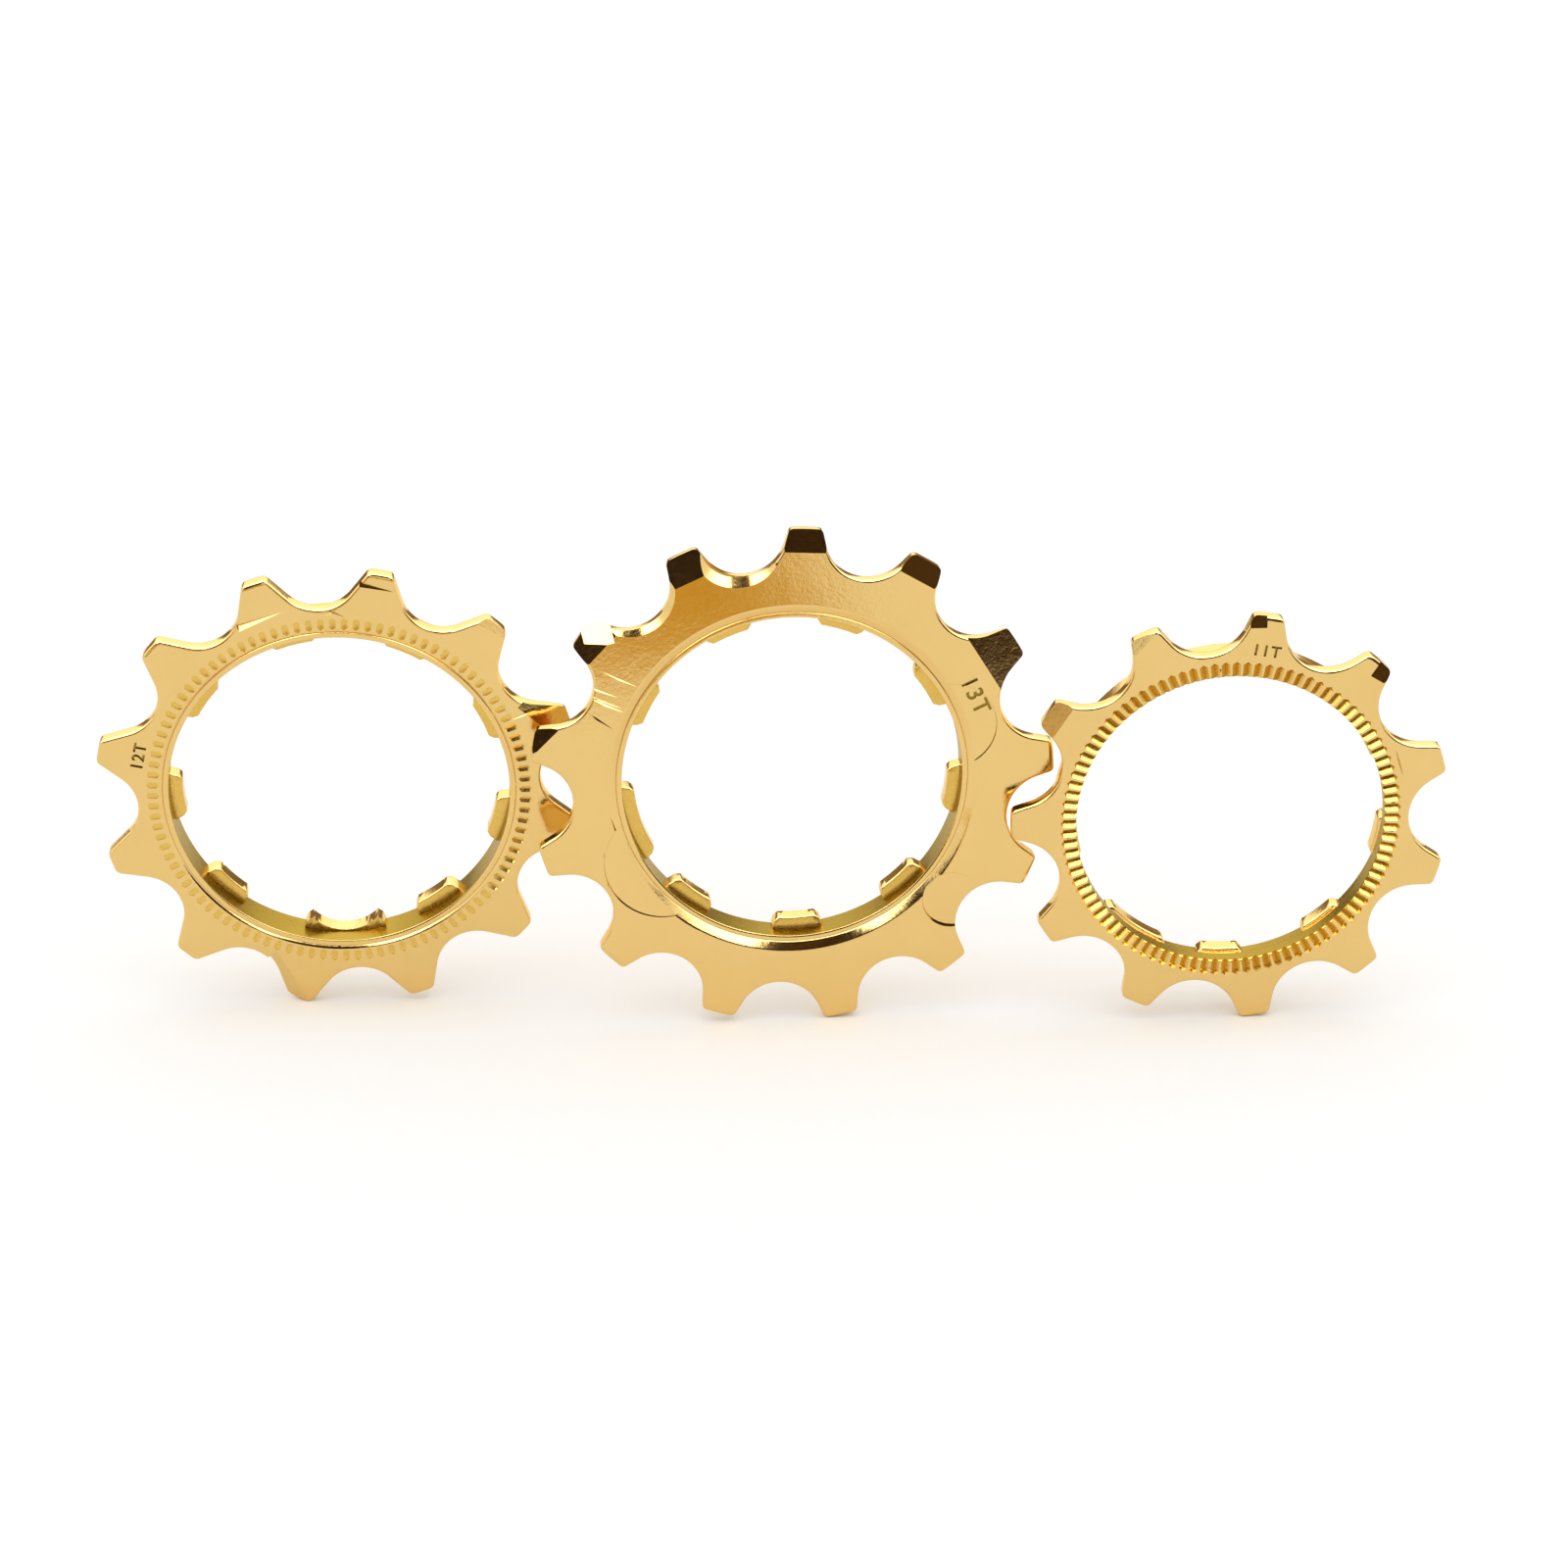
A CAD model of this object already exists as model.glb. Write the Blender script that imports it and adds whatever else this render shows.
"""Three gold-plated cassette sprockets with 12, 13 and 11 teeth, standing in a row.

A sprocket is drawn in millimetres in its own plane: Z is its axis, z = 0 is the front face of the
plate, and the spacer boss lies behind it. Angles are counterclockwise from +X, seen from the front.
place_sprocket() turns each one upright and sets it where its CAD node stands, in metres.
"""

import math

import bmesh
import bpy
from mathutils import Matrix, Vector


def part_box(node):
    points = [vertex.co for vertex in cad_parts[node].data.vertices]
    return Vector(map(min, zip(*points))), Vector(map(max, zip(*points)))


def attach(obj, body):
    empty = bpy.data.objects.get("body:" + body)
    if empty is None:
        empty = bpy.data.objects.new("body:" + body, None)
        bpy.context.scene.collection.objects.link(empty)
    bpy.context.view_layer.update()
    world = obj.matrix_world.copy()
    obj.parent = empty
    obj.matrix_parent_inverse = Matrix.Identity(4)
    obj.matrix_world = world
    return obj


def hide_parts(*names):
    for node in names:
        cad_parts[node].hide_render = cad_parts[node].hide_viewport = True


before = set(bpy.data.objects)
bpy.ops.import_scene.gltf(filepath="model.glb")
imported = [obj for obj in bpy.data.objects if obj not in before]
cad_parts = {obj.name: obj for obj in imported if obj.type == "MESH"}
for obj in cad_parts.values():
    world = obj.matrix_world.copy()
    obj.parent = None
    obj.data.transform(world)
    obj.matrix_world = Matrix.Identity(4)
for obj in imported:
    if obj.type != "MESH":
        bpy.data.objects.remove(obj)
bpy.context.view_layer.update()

MM = 0.001

# Sizes that the three sprockets share
CHAIN_PITCH = 12.7
GAP_CENTRE_BEYOND_PITCH = 0.37
PLATE_THICKNESS = 1.6
TOTAL_DEPTH = 4.4
CORNER_ROUND = 0.45
TIP_BEVEL_LENGTH = 0.5
TIP_BEVEL_DEPTH = 0.06

# Spline lugs, with angles in degrees of the bore
LUG_COUNT = 9
LUG_WIDTH = 19.0
LUG_TAPER = 1.7
WIDE_LUG_EXTRA = 10.5
LUG_FRONT = -2.35
LUG_FRONT_SLOPE = 0.08
LUG_BACK = -4.25
LUG_CORNER = 0.5
LUG_EDGE_ROUND = 0.16
SCOOP_RADIUS = 4.6
SCOOP_SHORT_OF_BORE = 0.15

# Where the 12T's notches are pressed deepest, in degrees
PRESSED_ARCS = ((0, 22), (324, 360))

# The boss's outside ends this far below the plate's face, inside the plate
BOSS_SEAM = 0.6 * PLATE_THICKNESS
BOSS_OVERLAP = 0.35

# The stamped tooth count
STAMP_DEPTH = 0.25
STAMP_STROKE = 0.03

# The rolled edge of the plate, as (distance inside the outline, depth below the face)
ROLLED_EDGE = [(0.32, 0), (0.22, 0.012), (0.13, 0.042), (0.055, 0.1), (0.012, 0.18), (0, 0.28)]

# Curve resolution
RING_SEGMENTS = 256
GAP_STEPS = 28
CORNER_STEPS = 5
SMALL_SEGMENTS = 96
SMOOTH_ANGLE = math.radians(32)

# Material slots of each sprocket
POLISHED, TURNED, MATT = range(3)

# The camera, with lengths in millimetres
CAMERA_ELEVATION = math.radians(24)
CAMERA_DISTANCE = 509.585
CAMERA_TARGET = (1.295, -2.537, 26.234)
CAMERA_LENS = 114.66
CAMERA_SENSOR = 36

# Radii and half widths in millimetres, angles in degrees.
# stamp: text, radius, angle and letter height. knurls: inner and outer radius of the matt knurls.
# first_lug: the wide lug, at the middle of its usual width. turn, lean and roll: how it all stands.
SPROCKETS = {
    "12t": {
        "body": "left_sprocket",
        "teeth": 12,
        "gap_radius": 4.25,
        "tip_radius": 24.9,
        "tip_half_width": 1.24,
        "bore": 17.45,
        "plate_bore": 17.45,
        "face_edge": 18.35,
        "lug_radius": 16.15,
        "first_lug": 264.5,
        "stamp": ("12T", 20.7, 167.5, 1.25),
        "knurls": (18.4, 19.75),
        "scooped": True,
        "boss": 19.6,
        "turn": 2.61,
        "lean": 3.09,
        "roll": 3.24,
    },
    "13t": {
        "body": "middle_sprocket",
        "teeth": 13,
        "gap_radius": 4.43,
        "tip_radius": 26.84,
        "tip_half_width": 1.68,
        "bore": 17.45,
        "plate_bore": 17.45,
        "face_edge": 18.9,
        "lug_radius": 16.15,
        "first_lug": 192.0,
        "stamp": ("13T", 20.5, 24.8, 1.75),
        "knurls": (0, 0),
        "scooped": False,
        "boss": 19.6,
        "turn": 4.75,
        "lean": -2.55,
        "roll": -3.16,
    },
    "11t": {
        "body": "right_sprocket",
        "teeth": 11,
        "gap_radius": 4.58,
        "tip_radius": 22.5,
        "tip_half_width": 1.5,
        "bore": 16.4,
        "plate_bore": 15.85,
        "face_edge": 16.75,
        "lug_radius": 15.6,
        "first_lug": 229.0,
        "stamp": ("11T", 18.8, 81.0, 1.2),
        "knurls": (0, 17.5),
        "scooped": False,
        "boss": 17.95,
        "turn": 2.86,
        "lean": -0.4,
        "roll": -8.03,
    },
}


# Solids as mesh objects


def link(made):
    bpy.context.scene.collection.objects.link(made)
    return made


def solid(name, points, faces):
    """A closed mesh object with its normals outwards."""
    mesh = bpy.data.meshes.new(name)
    mesh.from_pydata([tuple(p) for p in points], [], faces)
    work = bmesh.new()
    work.from_mesh(mesh)
    bmesh.ops.recalc_face_normals(work, faces=work.faces)
    work.to_mesh(mesh)
    work.free()
    return link(bpy.data.objects.new(name, mesh))


def moved(piece, matrix):
    piece.data.transform(matrix)
    return piece


def with_modifiers(piece):
    """Applies the piece's modifiers to its mesh."""
    graph = bpy.context.evaluated_depsgraph_get()
    graph.update()
    made = bpy.data.meshes.new_from_object(piece.evaluated_get(graph))
    old = piece.data
    piece.modifiers.clear()
    piece.data = made
    bpy.data.meshes.remove(old)
    return piece


def combine(piece, tools, operation):
    """Cuts, joins or intersects the piece with the tools, and deletes them."""
    for tool in tools:
        step = piece.modifiers.new(tool.name, "BOOLEAN")
        step.operation = operation
        step.solver = "MANIFOLD"
        step.object = tool
    with_modifiers(piece)
    for tool in tools:
        bpy.data.objects.remove(tool)
    return piece


def join(pieces):
    """One object that holds all the pieces' faces. They don't touch each other."""
    work = bmesh.new()
    for piece in pieces:
        work.from_mesh(piece.data)
    joined = bpy.data.meshes.new(pieces[0].name)
    work.to_mesh(joined)
    work.free()
    whole = link(bpy.data.objects.new(pieces[0].name, joined))
    for piece in pieces:
        bpy.data.objects.remove(piece)
    return whole


def turn_z(degrees):
    return Matrix.Rotation(math.radians(degrees), 4, "Z")


def turn_y(degrees):
    return Matrix.Rotation(math.radians(degrees), 4, "Y")


def shift(x, y, z):
    return Matrix.Translation((x, y, z))


def box(name, size, width):
    """A block on the plane z = 0 that starts at x = 0 and is `width` wide in y."""
    half = width / 2
    corners = [(x, y, z) for x in (0, size) for y in (-half, half) for z in (0, size)]
    faces = [(0, 1, 3, 2), (4, 6, 7, 5), (0, 4, 5, 1), (2, 3, 7, 6), (0, 2, 6, 4), (1, 5, 7, 3)]
    return solid(name, corners, faces)


def cone(name, bottom, top, segments):
    """A cone or cylinder about Z between two (radius, z) ends."""
    points = []
    for radius, z in (bottom, top):
        for index in range(segments):
            angle = 2 * math.pi * index / segments
            points.append((radius * math.cos(angle), radius * math.sin(angle), z))
    sides = []
    for index in range(segments):
        following = (index + 1) % segments
        sides.append((index, following, segments + following, segments + index))
    ends = [tuple(range(segments)), tuple(range(segments, 2 * segments))]
    return solid(name, points, sides + ends)


def ring(name, profile, segments=RING_SEGMENTS):
    """The closed (radius, z) profile turned about Z."""
    count = len(profile)
    points = []
    for index in range(segments):
        angle = 2 * math.pi * index / segments
        points += [(r * math.cos(angle), r * math.sin(angle), z) for r, z in profile]
    faces = []
    for index in range(segments):
        here = index * count
        there = (index + 1) % segments * count
        for corner in range(count):
            other = (corner + 1) % count
            faces.append((here + corner, there + corner, there + other, here + other))
    return solid(name, points, faces)


def softened(profile, usual=0.1, steps=4):
    """The closed profile with each corner rounded, by as much as its shorter side allows.

    A point is (radius, z), or (radius, z, rounding) where the rounding isn't the usual one."""
    corners = [Vector(p[:2]) for p in profile]
    rounding = [p[2] if len(p) > 2 else usual for p in profile]
    result = []
    for index, corner in enumerate(corners):
        before = corners[index - 1] - corner
        after = corners[(index + 1) % len(corners)] - corner
        cut = min(rounding[index], before.length * 0.45, after.length * 0.45)
        start = corner + before.normalized() * cut
        end = corner + after.normalized() * cut
        for step in range(steps + 1):
            t = step / steps
            point = start * (1 - t) ** 2 + corner * 2 * t * (1 - t) + end * t**2
            result.append(tuple(point))
    return result


# Toothed plate


def pitch_radius(spec):
    return CHAIN_PITCH / 2 / math.sin(math.pi / spec["teeth"])


def gap_centre_radius(spec):
    return pitch_radius(spec) + GAP_CENTRE_BEYOND_PITCH


def gap_angle(spec, index):
    return spec["roll"] - 90 + 360 * index / spec["teeth"]


def tooth_angle(spec, index):
    return gap_angle(spec, index) + 180 / spec["teeth"]


def polar(radius, angle):
    return Vector((radius * math.cos(angle), radius * math.sin(angle)))


def half_gap(spec, inset):
    """Points from the bottom of a gap that opens along +X to the middle of the next tooth's tip.

    The outline lies `inset` inside the full one, all the way round."""
    centre = Vector((gap_centre_radius(spec), 0))
    gap = spec["gap_radius"]
    corner_angle = math.pi / spec["teeth"] - math.asin(spec["tip_half_width"] / spec["tip_radius"])
    to_corner = polar(spec["tip_radius"], corner_angle) - centre
    tangent_angle = math.atan2(to_corner.y, to_corner.x) + math.acos(gap / to_corner.length)
    along = Vector((math.sin(tangent_angle), -math.cos(tangent_angle)))

    tangent = centre + polar(gap + inset, tangent_angle)
    tip = spec["tip_radius"] - inset
    forward = tangent.dot(along)
    reach = -forward + math.sqrt(forward**2 - tangent.length_squared + tip**2)
    corner = tangent + along * reach
    angle = math.atan2(corner.y, corner.x)

    points = []
    for step in range(GAP_STEPS + 1):
        sweep = math.pi + (tangent_angle - math.pi) * step / GAP_STEPS
        points.append(centre + polar(gap + inset, sweep))
    flank_end = corner - along * CORNER_ROUND
    tip_start = polar(tip, angle + CORNER_ROUND / tip)
    for step in range(CORNER_STEPS + 1):
        t = step / CORNER_STEPS
        points.append(flank_end * (1 - t) ** 2 + corner * 2 * t * (1 - t) + tip_start * t**2)
    start = angle + CORNER_ROUND / tip
    end = math.pi / spec["teeth"]
    for step in (1, 2):
        points.append(polar(tip, start + (end - start) * step / 2))
    return points


def tooth_outline(spec, inset):
    """The whole outline, `inset` inside the full one."""
    half = half_gap(spec, inset)
    whole = [Vector((p.x, -p.y)) for p in reversed(half[1:])] + half[:-1]
    outline = []
    for index in range(spec["teeth"]):
        turn = Matrix.Rotation(math.radians(gap_angle(spec, index)), 2)
        outline += [turn @ p for p in whole]
    return outline


def toothed_plate(spec):
    """The plate with its rolled edges and bevelled tips, without the bore."""
    layers = [(inset, -depth) for inset, depth in ROLLED_EDGE]
    layers += [(inset, depth - PLATE_THICKNESS) for inset, depth in reversed(ROLLED_EDGE)]

    points = []
    for inset, z in layers:
        points += [(p.x, p.y, z) for p in tooth_outline(spec, inset)]
    count = len(points) // len(layers)
    faces = [tuple(range(count)), tuple(range((len(layers) - 1) * count, len(points)))]
    for layer in range(len(layers) - 1):
        base = layer * count
        for index in range(count):
            following = (index + 1) % count
            faces.append((base + index, base + following, base + count + following, base + count + index))
    plate = solid("plate", points, faces)

    margin = 1.0
    tip = spec["tip_radius"]
    bevel = tip - TIP_BEVEL_LENGTH
    hole = spec["face_edge"] + 0.1
    outside = ring("tip_bevel", [
        (hole, -PLATE_THICKNESS - margin),
        (bevel, -PLATE_THICKNESS - margin),
        (bevel, -PLATE_THICKNESS),
        (tip, -PLATE_THICKNESS + TIP_BEVEL_DEPTH),
        (tip + margin, -PLATE_THICKNESS + 2 * TIP_BEVEL_DEPTH),
        (tip + margin, -2 * TIP_BEVEL_DEPTH),
        (tip, -TIP_BEVEL_DEPTH),
        (bevel, 0),
        (bevel, margin),
        (hole, margin),
    ])
    return combine(plate, [outside], "INTERSECT")


# Cuts in the front of the plate


def tooth_facet(spec, index, radius, tilt, skew=0, side=0, width=7, drop=0):
    """Takes away all in front of a plane that starts at `radius` and falls backwards by `tilt`.

    `skew` turns the line where it starts, `side` shifts it across the tooth, `width` is its length,
    and `drop` sinks the plane, which leaves a step at the line."""
    reach = 7
    cutter = box("facet", reach, width)
    start = shift(radius, side, -drop)
    return moved(cutter, turn_z(tooth_angle(spec, index)) @ start @ turn_z(skew) @ turn_y(tilt))


def root_crescent(spec, index, width, depth, turn=0):
    """A crescent chamfer on the front edge of a gap, widest at the root."""
    outer = spec["gap_radius"] + width / 4
    lift = 0.5
    widest = outer + lift * width / depth
    cutter = cone("crescent", (outer - width, -depth), (widest, lift), SMALL_SEGMENTS)
    centre = gap_centre_radius(spec) - width * 0.75
    return moved(cutter, turn_z(gap_angle(spec, index) + turn) @ shift(centre, 0, 0))


def ramp_pocket(x, y, radius, depth, deep_side):
    """A shallow round pocket whose floor rises away from `deep_side` until it meets the face."""
    height = 4
    cutter = cone("pocket", (radius, -depth / 2), (radius, height), SMALL_SEGMENTS)
    tilt = math.degrees(math.atan(depth / (2 * radius)))
    return moved(cutter, shift(x, y, 0) @ turn_z(deep_side) @ turn_y(tilt))


def groove_ring(count, radii, half_width, depth, deep_arcs=((0, 360),), shallow=0):
    """Radial V grooves, level between the middle two radii and pointed at the outer two.

    They are `depth` deep in the arcs given, and `shallow` elsewhere."""
    inner_point, inner, outer, outer_point = radii
    grooves = []
    for index in range(count):
        angle = 360 * index / count
        deep = any(start <= angle <= end for start, end in deep_arcs)
        low = depth if deep else shallow
        section = [(-half_width, 0), (0, low), (half_width, 0), (0, -low)]
        points = [(inner_point, 0, 0), (outer_point, 0, 0)]
        points += [(radius, *corner) for radius in (inner, outer) for corner in section]
        faces = []
        for corner in range(4):
            here, other = 2 + corner, 2 + (corner + 1) % 4
            faces += [(0, other, here), (here, other, other + 4, here + 4), (here + 4, other + 4, 1)]
        grooves.append(moved(solid("groove", points, faces), turn_z(angle)))
    return join(grooves)


def leaf_notch(point, wide_end, gentle, steep, depth):
    """A leaf-shaped notch, deepest at its wide end, with a gentle lower and a steep upper side."""
    point, wide_end = Vector(point), Vector(wide_end)
    along = wide_end - point
    points = [
        (0, 0, 0),
        (along.length, gentle, 0),
        (along.length, 0, depth),
        (along.length, -steep, 0),
        (along.length, -steep * 0.8, -depth),
    ]
    faces = [(0, 1, 2), (0, 2, 3), (0, 3, 4), (0, 4, 1), (1, 4, 3, 2)]
    notch = solid("leaf", points, faces)
    direction = math.degrees(math.atan2(along.y, along.x))
    return moved(notch, shift(point.x, point.y, 0) @ turn_z(direction))


def scratch(start, end, half_width, depth):
    """A shallow V scratch that tapers to both ends."""
    start, end = Vector(start), Vector(end)
    along = end - start
    middle = along.length / 2
    points = [(0, 0, 0), (along.length, 0, 0)]
    points += [(middle, -half_width, 0), (middle, 0, depth), (middle, half_width, 0), (middle, 0, -depth)]
    faces = []
    for corner in range(4):
        here, other = 2 + corner, 2 + (corner + 1) % 4
        faces += [(0, other, here), (here, other, 1)]
    direction = math.degrees(math.atan2(along.y, along.x))
    return moved(solid("scratch", points, faces), shift(start.x, start.y, 0) @ turn_z(direction))


def stamp(spec):
    """The tooth count, pressed into the face and read clockwise round the sprocket."""
    text, radius, angle, height = spec["stamp"]
    size_per_height = 1.4
    curve = bpy.data.curves.new("stamp", "FONT")
    curve.body = text
    curve.size = height * size_per_height
    curve.align_x = "CENTER"
    curve.align_y = "CENTER"
    curve.extrude = STAMP_DEPTH
    curve.offset = STAMP_STROKE
    curve.space_character = 1.15
    curve.resolution_u = 3
    letters = link(bpy.data.objects.new("stamp", curve))
    graph = bpy.context.evaluated_depsgraph_get()
    mesh = bpy.data.meshes.new_from_object(letters.evaluated_get(graph))
    bpy.data.objects.remove(letters)
    work = bmesh.new()
    work.from_mesh(mesh)
    bmesh.ops.remove_doubles(work, verts=work.verts, dist=0.002)
    bmesh.ops.recalc_face_normals(work, faces=work.faces)
    work.to_mesh(mesh)
    work.free()
    cutter = link(bpy.data.objects.new("stamp", mesh))
    return moved(cutter, turn_z(angle) @ shift(radius, 0, 0) @ turn_z(-90))


# Spline lugs


def lug(spec, middle, extra):
    """One lug, LUG_WIDTH wide about `middle` and `extra` wider on one side, in degrees."""
    start = middle - LUG_WIDTH / 2
    end = middle + LUG_WIDTH / 2 + extra
    embed = 0.6
    inner = spec["lug_radius"]
    outer = spec["bore"] + embed
    profile = [
        (inner, LUG_BACK),
        (outer, LUG_BACK),
        (outer, LUG_FRONT),
        (spec["bore"] - 0.1, LUG_FRONT),
        (inner, LUG_FRONT - LUG_FRONT_SLOPE),
    ]
    corner = LUG_CORNER / (math.radians(end - start) * inner)
    body_steps = 10
    shares = [0] + [corner + (1 - 2 * corner) * i / body_steps for i in range(body_steps + 1)] + [1]
    steps = len(shares) - 1
    points = []
    for share in shares:
        cut = LUG_CORNER if share in (0, 1) else 0
        for radius, z in profile:
            reach = radius + cut if radius < spec["bore"] - 0.2 else radius
            taper = LUG_TAPER * (outer + 1 - radius) / (outer - inner + 2)
            angle = math.radians(start + taper + (end - start - 2 * taper) * share)
            points.append((reach * math.cos(angle), reach * math.sin(angle), z))
    count = len(profile)
    faces = [tuple(range(count)), tuple(range(steps * count, (steps + 1) * count))]
    for step in range(steps):
        for corner in range(count):
            other = (corner + 1) % count
            here = step * count
            faces.append((here + corner, here + count + corner, here + count + other, here + other))
    return solid("lug", points, faces)


def spline_lugs(spec):
    pitch = 360 / LUG_COUNT
    lugs = []
    for index in range(LUG_COUNT):
        piece = lug(spec, spec["first_lug"] + pitch * index, WIDE_LUG_EXTRA if index == 0 else 0)
        if index == 0 and spec["scooped"]:
            low, high = LUG_BACK - 1, LUG_FRONT + 1
            scoop = cone("scoop", (SCOOP_RADIUS, low), (SCOOP_RADIUS, high), SMALL_SEGMENTS)
            direction = spec["first_lug"] + WIDE_LUG_EXTRA / 2
            distance = spec["bore"] - SCOOP_SHORT_OF_BORE - SCOOP_RADIUS
            moved(scoop, turn_z(direction) @ shift(distance, 0, 0))
            combine(piece, [scoop], "DIFFERENCE")
        soften = piece.modifiers.new("soften", "BEVEL")
        soften.width = LUG_EDGE_ROUND
        soften.segments = 3
        soften.limit_method = "ANGLE"
        soften.angle_limit = math.radians(40)
        lugs.append(with_modifiers(piece))
    return join(lugs)


# Spacer boss, with a front profile of its own on each sprocket


def spacer_boss(spec, front):
    """The boss with the bore through it. `front` is its profile in the plate, from outside in."""
    bevel = 0.3
    step = spec["bore"] - spec["plate_bore"]
    collar_end = -PLATE_THICKNESS - 0.2
    profile = [
        (spec["bore"] + bevel, -TOTAL_DEPTH),
        (spec["boss"] - bevel, -TOTAL_DEPTH),
        (spec["boss"], -TOTAL_DEPTH + bevel),
        (spec["boss"], -BOSS_SEAM),
        *front,
    ]
    if step > 0:
        profile += [(spec["plate_bore"], collar_end), (spec["bore"], collar_end - step)]
    profile.append((spec["bore"], -TOTAL_DEPTH + bevel))
    return ring("boss", softened(profile))


def recessed_rim(spec, depth, slope_width, rounding):
    """A front whose rim lies below the plate's face, with a slope up to the face's edge."""
    edge = spec["face_edge"]
    foot = edge - slope_width
    bore = spec["plate_bore"]
    groove = 0.07
    bevel = 0.18
    return [
        (edge + BOSS_OVERLAP, -BOSS_SEAM, 0),
        (edge + BOSS_OVERLAP, 0, 0),
        (edge, 0, rounding),
        (foot, -depth, 0.03),
        (foot - groove, -depth - groove, 0.03),
        (foot - 2 * groove, -depth, 0.03),
        (bore + bevel, -depth, 0.04),
        (bore, -depth - bevel * 0.36, 0.06),
    ]


def detail_12t(spec):
    boss = spacer_boss(spec, recessed_rim(spec, 0.16, 0.22, 0.12))
    cuts = [
        groove_ring(100, (18.42, 18.65, 19.5, 19.7), 0.34, 0.15, PRESSED_ARCS, 0.085),
        leaf_notch((-5, 20.5), (-9.6, 19), 0.65, 0.12, 0.5),
        leaf_notch((6.3, 22.5), (1.9, 23.95), 0.65, 0.15, 0.5),
        scratch((-1.2, 21.1), (1.3, 19.8), 0.12, 0.08),
        scratch((-1.0, 19.9), (0.6, 20.7), 0.1, 0.06),
        scratch((17.7, 7.9), (20, 8.9), 0.12, 0.1),
        tooth_facet(spec, 3, 22.2, 17, skew=30),
        tooth_facet(spec, 4, 24.0, 12, skew=10),
        tooth_facet(spec, 11, 22.4, 38, skew=-52, side=-1),
        stamp(spec),
    ]
    return boss, cuts


def detail_13t(spec):
    boss = spacer_boss(spec, recessed_rim(spec, 0.5, 0.8, 0.34))
    cuts = [
        ramp_pocket(-13.4, -8.6, 6, 0.5, 150),
        ramp_pocket(16.4, -13.8, 3, 0.4, 225),
        ramp_pocket(16.4, 5.4, 4.5, 0.2, 0),
        tooth_facet(spec, 4, 22.9, 14, drop=0.15),
        tooth_facet(spec, 5, 24.7, 15),
        tooth_facet(spec, 6, 24.5, 15),
        tooth_facet(spec, 7, 24.0, 15),
        tooth_facet(spec, 8, 24.2, 15, skew=-5),
        tooth_facet(spec, 8, 24.6, 38, skew=-38, side=-0.1, width=3),
        tooth_facet(spec, 9, 25.2, 16, skew=-35, side=-1.05),
        root_crescent(spec, 7, 0.95, 0.63, turn=1.5),
        root_crescent(spec, 8, 0.7, 0.47),
        scratch((-17.9, -4.4), (-19.4, -8.2), 0.13, 0.22),
        scratch((-19.4, -7.2), (-19.0, -11.2), 0.11, 0.16),
        scratch((-18.7, -3.2), (-17.1, -8.1), 0.16, 0.3),
        scratch((-17.5, -7.2), (-14.9, -11.6), 0.16, 0.3),
        scratch((-22.2, 11.6), (-17.6, 9.6), 0.16, 0.1),
        scratch((-21.6, 10.4), (-17.2, 8.4), 0.14, 0.08),
        scratch((-20.7, 9.8), (-17.1, 8.0), 0.2, 0.12),
        scratch((-19.3, 12.5), (-15.7, 10.7), 0.14, 0.1),
        scratch((-21.3, 8.6), (-18.2, 6.2), 0.2, 0.06),
        stamp(spec),
    ]
    return boss, cuts


def detail_11t(spec):
    bore = spec["plate_bore"]
    edge = spec["face_edge"]
    bevel = 0.15
    boss = spacer_boss(spec, [
        (edge + BOSS_OVERLAP, -BOSS_SEAM, 0),
        (edge + BOSS_OVERLAP, 0, 0),
        (bore + bevel, 0),
        (bore, -bevel),
    ])
    cuts = [
        groove_ring(96, (bore - 0.8, bore - 0.4, 17.2, 17.5), 0.42, 0.4),
        scratch((16.6, 7.5), (17.5, 4.6), 0.12, 0.1),
        tooth_facet(spec, 4, 21.0, 17, skew=9, side=-1.3, width=2.4),
        tooth_facet(spec, 5, 21.2, 17, skew=8, side=1, width=1.9),
        tooth_facet(spec, 6, 21.4, 17, skew=23, side=0.8),
        tooth_facet(spec, 7, 20.7, 16),
        stamp(spec),
    ]
    return boss, cuts


DETAILS = {"12t": detail_12t, "13t": detail_13t, "11t": detail_11t}


# Gold plating


def node(tree, kind, **inputs):
    """A new shader node with these inputs set, written with _ for a space."""
    made = tree.nodes.new(kind)
    for name, value in inputs.items():
        made.inputs[name.replace("_", " ")].default_value = value
    return made


def edge_mask(tree):
    """How near the surface is to an edge, from 0 on the flat to about 0.7 on the edge itself."""
    rounded = node(tree, "ShaderNodeBevel", Radius=0.00011)
    rounded.samples = 6
    own = tree.nodes.new("ShaderNodeNewGeometry").outputs["Normal"]
    likeness = tree.nodes.new("ShaderNodeVectorMath")
    likeness.operation = "DOT_PRODUCT"
    tree.links.new(rounded.outputs["Normal"], likeness.inputs[0])
    tree.links.new(own, likeness.inputs[1])
    mask = node(tree, "ShaderNodeMapRange")
    mask.inputs["From Min"].default_value = 0.99
    mask.inputs["From Max"].default_value = 0.85
    mask.inputs["To Max"].default_value = 0.7
    tree.links.new(likeness.outputs["Value"], mask.inputs["Value"])
    return mask.outputs["Result"]


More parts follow.
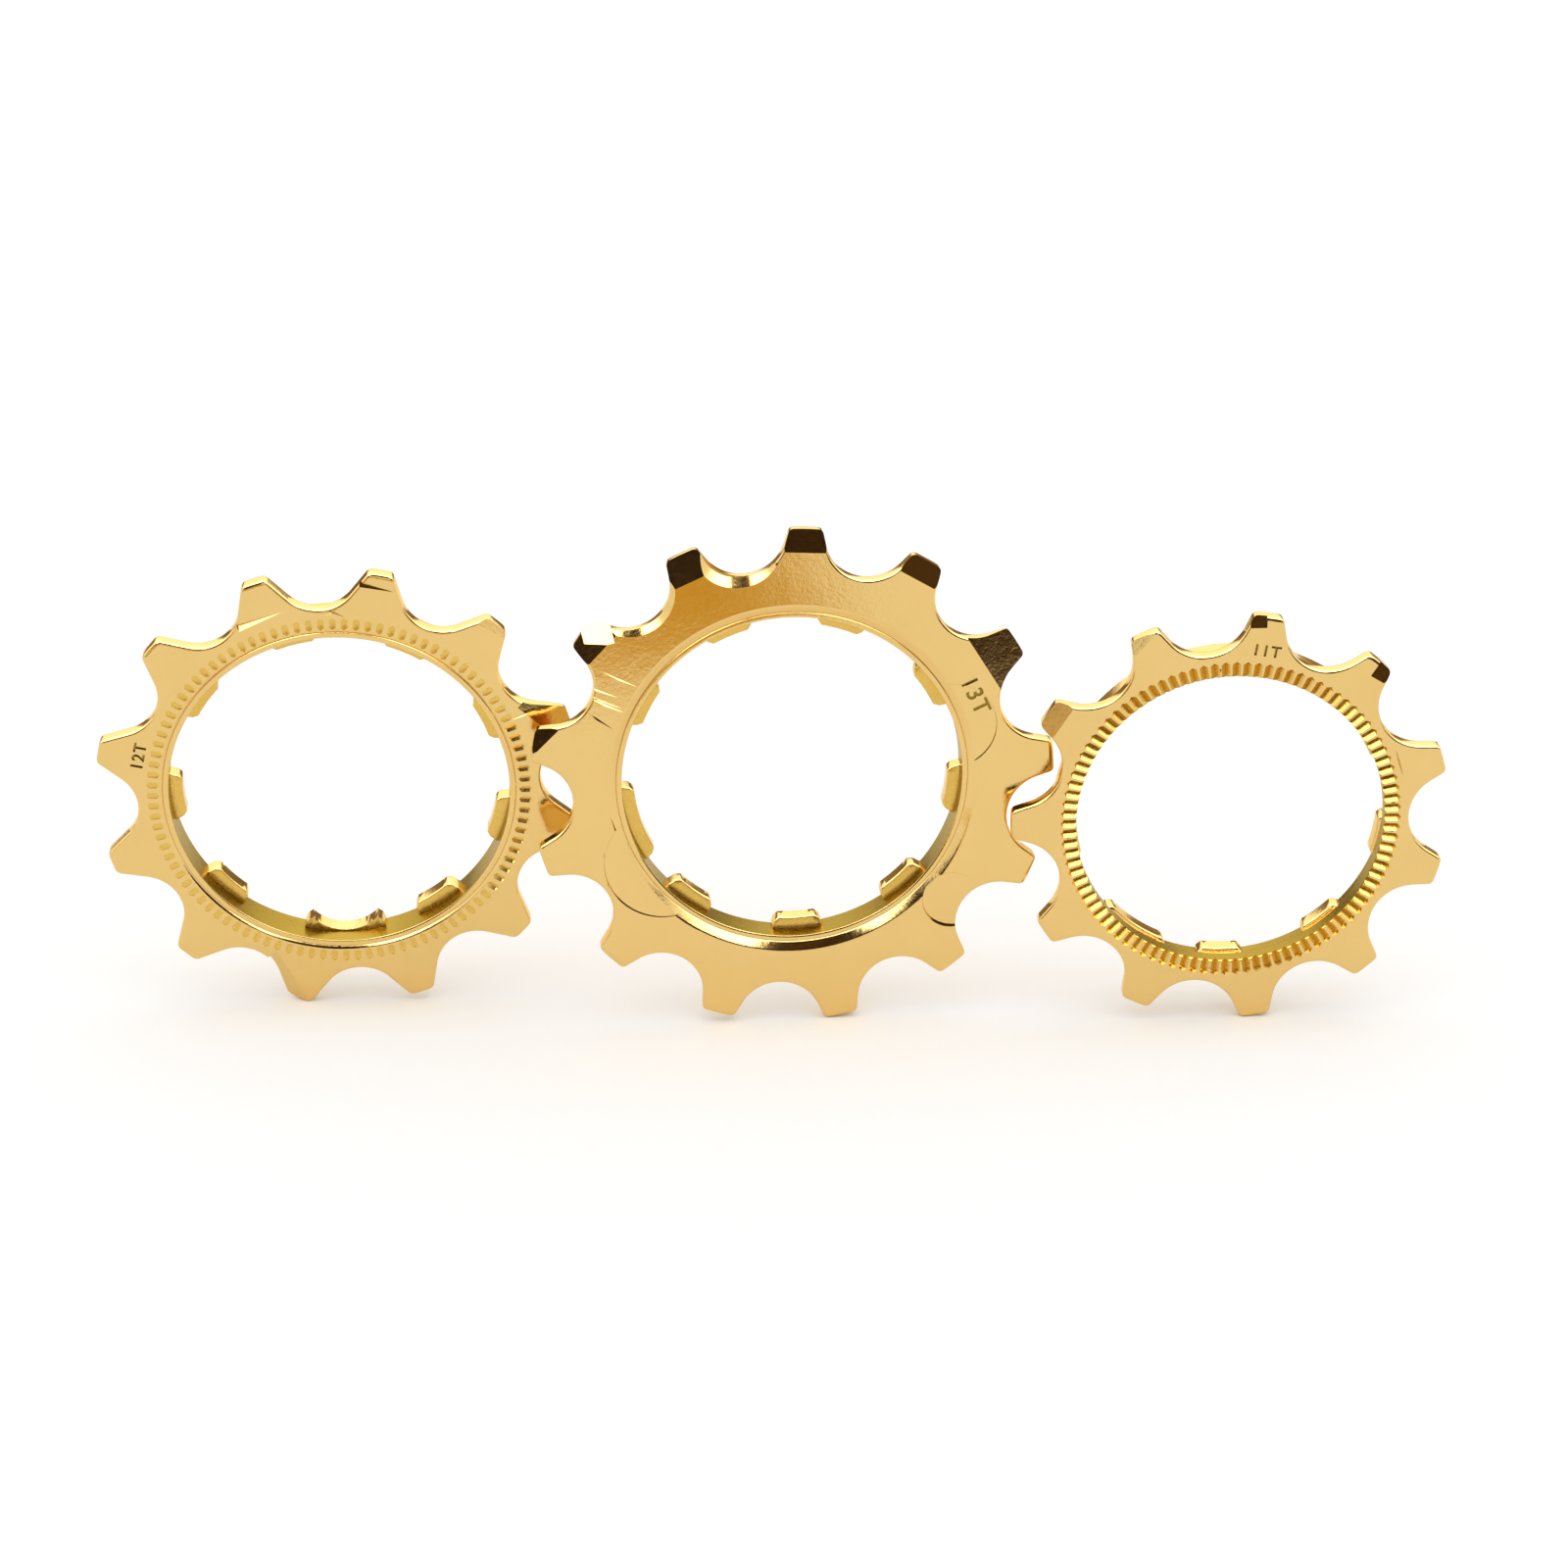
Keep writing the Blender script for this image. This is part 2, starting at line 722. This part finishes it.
def gold_plating(name, deep, light, edge_tone, roughness, skin):
    """Plating with two shades of gold, darker edges, a fine grain and an uneven skin.

    `roughness` is its lowest and highest, and `skin` how strong the unevenness is."""
    material = bpy.data.materials.new(name)
    material.use_nodes = True
    tree = material.node_tree
    connect = tree.links.new
    shader = tree.nodes["Principled BSDF"]
    shader.inputs["Metallic"].default_value = 1.0
    shader.inputs["Specular Tint"].default_value = (1, 0.9, 0.66, 1)
    where = tree.nodes.new("ShaderNodeTexCoord").outputs["Object"]

    patches = node(tree, "ShaderNodeTexNoise", Scale=160.0, Detail=3.0, Roughness=0.6)
    connect(where, patches.inputs["Vector"])
    tint = tree.nodes.new("ShaderNodeMix")
    tint.data_type = "RGBA"
    tint.inputs["A"].default_value = (*light, 1)
    tint.inputs["B"].default_value = (*deep, 1)
    connect(patches.outputs["Fac"], tint.inputs["Factor"])
    worn = tree.nodes.new("ShaderNodeMix")
    worn.data_type = "RGBA"
    worn.inputs["B"].default_value = (*edge_tone, 1)
    connect(edge_mask(tree), worn.inputs["Factor"])
    connect(tint.outputs["Result"], worn.inputs["A"])
    connect(worn.outputs["Result"], shader.inputs["Base Color"])

    grain = node(tree, "ShaderNodeTexNoise", Scale=2600.0, Detail=4.0, Roughness=0.65)
    connect(where, grain.inputs["Vector"])
    gloss = node(tree, "ShaderNodeMapRange")
    gloss.inputs["To Min"].default_value, gloss.inputs["To Max"].default_value = roughness
    connect(grain.outputs["Fac"], gloss.inputs["Value"])
    connect(gloss.outputs["Result"], shader.inputs["Roughness"])

    waves = node(tree, "ShaderNodeTexNoise", Scale=420.0, Detail=2.0, Roughness=0.5)
    connect(where, waves.inputs["Vector"])
    peel = node(tree, "ShaderNodeBump", Strength=skin, Distance=0.0001)
    connect(waves.outputs["Fac"], peel.inputs["Height"])
    fine = node(tree, "ShaderNodeBump", Strength=0.3, Distance=0.00003)
    connect(grain.outputs["Fac"], fine.inputs["Height"])
    connect(peel.outputs["Normal"], fine.inputs["Normal"])
    connect(fine.outputs["Normal"], shader.inputs["Normal"])
    return material


# Assembly of one sprocket


def place_sprocket(piece, spec, node_name):
    """Turns the sprocket upright and centres it on its CAD node's box, on the same lowest point."""
    upright = Matrix.Rotation(math.pi / 2, 4, "X")
    lean = Matrix.Rotation(math.radians(spec["lean"]), 4, "X")
    moved(piece, Matrix.Scale(MM, 4) @ turn_z(spec["turn"]) @ lean @ upright)
    low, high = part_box(node_name)
    corners = [v.co for v in piece.data.vertices]
    mine_low = Vector([min(c[i] for c in corners) for i in range(3)])
    mine_high = Vector([max(c[i] for c in corners) for i in range(3)])
    offset = (low + high - mine_low - mine_high) / 2
    offset.z = low.z - mine_low.z
    moved(piece, Matrix.Translation(offset))


def choose_finish(mesh, spec):
    """Bore wall and stamp are as turned, lug fronts and knurls matt, and the rest polished."""
    _, stamp_radius, _, stamp_height = spec["stamp"]
    for face in mesh.polygons:
        centre, normal = face.center, face.normal
        radius = math.hypot(centre.x, centre.y)
        inward = -(normal.x * centre.x + normal.y * centre.y) / radius
        wall = spec["plate_bore"] - 0.1 < radius < spec["bore"] + 0.02 and inward > 0.85
        stamp_floor = abs(centre.z + STAMP_DEPTH) < 0.01 and normal.z > 0.99
        stamped = stamp_floor and abs(radius - stamp_radius) < stamp_height
        lug_front = radius < spec["plate_bore"] and normal.z > 0.9 and centre.z < -1
        knurled = in_knurls(spec, radius) and 0.2 < normal.z < 0.99 and centre.z > -0.6
        if wall or stamped:
            face.material_index = TURNED
        elif lug_front or knurled:
            face.material_index = MATT


def in_knurls(spec, radius):
    inner, outer = spec["knurls"]
    return inner < radius < outer


def crisp_facets(mesh, spec):
    """Sharp edges round the plate's plane facets, which tilt too little for SMOOTH_ANGLE."""
    least_area = 0.8
    least_turn_tilted, least_turn_flat = math.radians(2), math.radians(9)
    areas = {}
    meeting = {}
    for face in mesh.polygons:
        areas[facing(face)] = areas.get(facing(face), 0) + face.area
        for key in face.edge_keys:
            meeting.setdefault(key, []).append(face)
    for edge in mesh.edges:
        faces = meeting[edge.key]
        plane_ones = [face for face in faces if areas[facing(face)] > least_area]
        if len(faces) != 2 or not plane_ones:
            continue
        middle = (mesh.vertices[edge.vertices[0]].co + mesh.vertices[edge.vertices[1]].co) / 2
        if math.hypot(middle.x, middle.y) < spec["plate_bore"]:
            continue
        tilted = any(0.1 < face.normal.z < 0.9995 for face in plane_ones)
        least_turn = least_turn_tilted if tilted else least_turn_flat
        if faces[0].normal.angle(faces[1].normal, 0) > least_turn:
            edge.use_edge_sharp = True


def facing(face):
    """The face's direction, rounded so that faces in one plane share it."""
    return tuple(round(c * 200) for c in face.normal)


def make_sprocket(size):
    """Builds a sprocket, finishes it, and stands it in place of its CAD node."""
    spec = SPROCKETS[size]
    boss, cuts = DETAILS[size](spec)
    piece = toothed_plate(spec)
    combine(piece, [boss, spline_lugs(spec)], "UNION")
    combine(piece, cuts, "DIFFERENCE")
    mesh = piece.data
    mesh.materials.clear()
    for material in FINISHES:
        mesh.materials.append(material)
    mesh.polygons.foreach_set("material_index", [POLISHED] * len(mesh.polygons))
    choose_finish(mesh, spec)
    mesh.shade_smooth()
    mesh.set_sharp_from_angle(angle=SMOOTH_ANGLE)
    crisp_facets(mesh, spec)
    node_name = f"sprocket_{size}"
    place_sprocket(piece, spec, node_name)
    piece.name = f"{node_name}_plated"
    weights = piece.modifiers.new("flat_faces_first", "WEIGHTED_NORMAL")
    weights.keep_sharp = True
    weights.weight = 100
    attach(piece, spec["body"])
    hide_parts(node_name)


FINISHES = [
    gold_plating(
        "gold_polished",
        deep=(0.77, 0.52, 0.18),
        light=(0.81, 0.565, 0.215),
        edge_tone=(0.34, 0.21, 0.08),
        roughness=(0.05, 0.15),
        skin=0.12,
    ),
    gold_plating(
        "gold_turned",
        deep=(0.27, 0.17, 0.02),
        light=(0.34, 0.22, 0.03),
        edge_tone=(0.2, 0.12, 0.02),
        roughness=(0.2, 0.36),
        skin=0.2,
    ),
    gold_plating(
        "gold_matt",
        deep=(0.68, 0.43, 0.085),
        light=(0.78, 0.52, 0.13),
        edge_tone=(0.36, 0.2, 0.03),
        roughness=(0.18, 0.36),
        skin=0.3,
    ),
]
for size in SPROCKETS:
    make_sprocket(size)


# Camera, in front of the row and above it


camera = link(bpy.data.objects.new("camera", bpy.data.cameras.new("camera")))
bpy.context.scene.camera = camera
camera.data.sensor_width = CAMERA_SENSOR
camera.data.lens = CAMERA_LENS
camera.data.clip_start = 0.01
back = Vector((0, -math.cos(CAMERA_ELEVATION), math.sin(CAMERA_ELEVATION)))
camera.location = Vector(CAMERA_TARGET) * MM + back * CAMERA_DISTANCE * MM
camera.rotation_euler = back.to_track_quat("Z", "Y").to_euler()


# Floor and light


def plane(name, width, depth):
    """A level sheet round the origin, in metres, that belongs to the stage."""
    half_w, half_d = width / 2, depth / 2
    corners = [(-half_w, -half_d, 0), (half_w, -half_d, 0), (half_w, half_d, 0), (-half_w, half_d, 0)]
    mesh = bpy.data.meshes.new(name)
    mesh.from_pydata(corners, [], [(0, 1, 2, 3)])
    made = link(bpy.data.objects.new(name, mesh))
    return made


floor = plane("floor", 12, 12)
floor.location.z = -0.02 * MM
paper = bpy.data.materials.new("paper")
paper.use_nodes = True
sheen = paper.node_tree.nodes["Principled BSDF"].inputs
sheen["Base Color"].default_value = (0.92, 0.92, 0.92, 1)
sheen["Roughness"].default_value = 0.9
sheen["Specular IOR Level"].default_value = 0.1
floor.data.materials.append(paper)


def studio_world():
    """Even white light, with a dark front horizon and a bright ceiling in what the metal reflects."""
    world = bpy.data.worlds.new("studio")
    bpy.context.scene.world = world
    world.use_nodes = True
    tree = world.node_tree
    connect = tree.links.new
    tree.nodes.clear()
    out = tree.nodes.new("ShaderNodeOutputWorld")
    even = node(tree, "ShaderNodeBackground", Strength=1.03)
    even.inputs["Color"].default_value = (1, 1, 1, 1)

    direction = tree.nodes.new("ShaderNodeTexCoord").outputs["Generated"]
    parts = tree.nodes.new("ShaderNodeSeparateXYZ")
    connect(direction, parts.inputs["Vector"])

    front = tree.nodes.new("ShaderNodeValToRGB")
    set_stops(front, [(0.0, 1.0), (0.4, 1.2), (0.55, 4.5), (1.0, 5.0)])
    connect(parts.outputs["Z"], front.inputs["Fac"])
    rear = tree.nodes.new("ShaderNodeValToRGB")
    set_stops(rear, [(0.0, 0.5), (0.08, 0.6), (0.16, 1.55), (0.5, 1.7), (0.75, 3.5), (1.0, 5.0)])
    connect(parts.outputs["Z"], rear.inputs["Fac"])

    side = tree.nodes.new("ShaderNodeMapRange")
    side.inputs["From Min"].default_value = -0.35
    side.inputs["From Max"].default_value = 0.15
    connect(parts.outputs["Y"], side.inputs["Value"])
    both = tree.nodes.new("ShaderNodeMix")
    both.data_type = "RGBA"
    connect(side.outputs["Result"], both.inputs["Factor"])
    connect(front.outputs["Color"], both.inputs["A"])
    connect(rear.outputs["Color"], both.inputs["B"])
    reflected = tree.nodes.new("ShaderNodeBackground")
    connect(both.outputs["Result"], reflected.inputs["Color"])

    rays = tree.nodes.new("ShaderNodeLightPath")
    choose = tree.nodes.new("ShaderNodeMixShader")
    connect(rays.outputs["Is Glossy Ray"], choose.inputs[0])
    connect(even.outputs[0], choose.inputs[1])
    connect(reflected.outputs[0], choose.inputs[2])
    connect(choose.outputs[0], out.inputs["Surface"])


def set_stops(ramp, stops):
    """Greys along the ramp, as (position, brightness)."""
    elements = ramp.color_ramp.elements
    while len(elements) > 1:
        elements.remove(elements[-1])
    for index, (position, value) in enumerate(stops):
        element = elements[0] if index == 0 else elements.new(position)
        element.position = position
        element.color = (value, value, value, 1)


studio_world()


def reflected_only(made):
    """Only what mirrors the object's surroundings sees it."""
    made.visible_camera = False
    made.visible_diffuse = False
    made.visible_shadow = False
    made.visible_transmission = False
    made.visible_volume_scatter = False


def cloth(name, dark, light):
    """A matt cloth with large soft folds of two shades."""
    material = bpy.data.materials.new(name)
    material.use_nodes = True
    tree = material.node_tree
    shader = tree.nodes["Principled BSDF"]
    folds = node(tree, "ShaderNodeTexNoise", Scale=9.0, Detail=2.0)
    tree.links.new(tree.nodes.new("ShaderNodeTexCoord").outputs["Object"], folds.inputs["Vector"])
    tint = tree.nodes.new("ShaderNodeValToRGB")
    low, high = tint.color_ramp.elements
    low.position, low.color = 0.42, (*dark, 1)
    high.position, high.color = 0.58, (*light, 1)
    tree.links.new(folds.outputs["Fac"], tint.inputs["Fac"])
    tree.links.new(tint.outputs["Color"], shader.inputs["Base Color"])
    shader.inputs["Roughness"].default_value = 1
    shader.inputs["Specular IOR Level"].default_value = 0
    return material


def screen(name, left, right, bottom, top, material, distance=0.42):
    """An upright card in front of the row, in metres."""
    card = plane(name, right - left, top - bottom)
    card.rotation_euler = (math.pi / 2, 0, 0)
    card.location = ((left + right) / 2, -distance, (bottom + top) / 2)
    card.data.materials.append(material)
    reflected_only(card)


dark = cloth("dark_cloth", (0.012, 0.006, 0.004), (0.075, 0.04, 0.015))
grey = cloth("grey_cloth", (0.2, 0.15, 0.1), (0.3, 0.22, 0.15))
screen("screen_low_right", 0.12, 0.65, 0, 0.085, dark)
screen("screen_low_left", -0.34, -0.09, 0, 0.085, dark)
screen("screen_high", -0.34, 0.65, 0.085, 0.25, dark)
screen("screen_middle", -0.14, 0.19, 0.25, 0.62, dark)
screen("screen_rear", -0.6, 0.6, 0, 0.09, grey, distance=-0.3)

mat = plane("dark_mat", 0.55, 0.17)
mat.location = (0.385, -0.335, 0.002)
mat.data.materials.append(dark)
reflected_only(mat)


def brown_board():
    """A mottled golden-brown board on the floor in front, to the left."""
    board = plane("board", 0.19, 0.2)
    board.location = (-0.065, -0.222, 0.001)
    material = bpy.data.materials.new("brown_board")
    material.use_nodes = True
    tree = material.node_tree
    shader = tree.nodes["Principled BSDF"]
    where = tree.nodes.new("ShaderNodeTexCoord").outputs["Object"]
    blots = node(tree, "ShaderNodeTexNoise", Scale=130.0, Detail=6.0, Roughness=0.7)
    tree.links.new(where, blots.inputs["Vector"])
    tint = tree.nodes.new("ShaderNodeValToRGB")
    elements = tint.color_ramp.elements
    elements[0].position = 0.36
    elements[0].color = (0.07, 0.026, 0.0005, 1)
    elements[1].position = 0.66
    elements[1].color = (0.8, 0.58, 0.06, 1)
    elements.new(0.5).color = (0.54, 0.31, 0.002, 1)
    tree.links.new(blots.outputs["Fac"], tint.inputs["Fac"])
    tree.links.new(tint.outputs["Color"], shader.inputs["Base Color"])
    shader.inputs["Roughness"].default_value = 0.8
    board.data.materials.append(material)
    reflected_only(board)


brown_board()

lamp = link(bpy.data.objects.new("softbox", bpy.data.lights.new("softbox", "AREA")))
lamp.data.shape = "RECTANGLE"
lamp.data.size = 1.2
lamp.data.size_y = 1.0
lamp.data.energy = 1.6
lamp.location = (0, 0.1, 1.1)
lamp.visible_glossy = False

bpy.context.scene.view_settings.view_transform = "Standard"
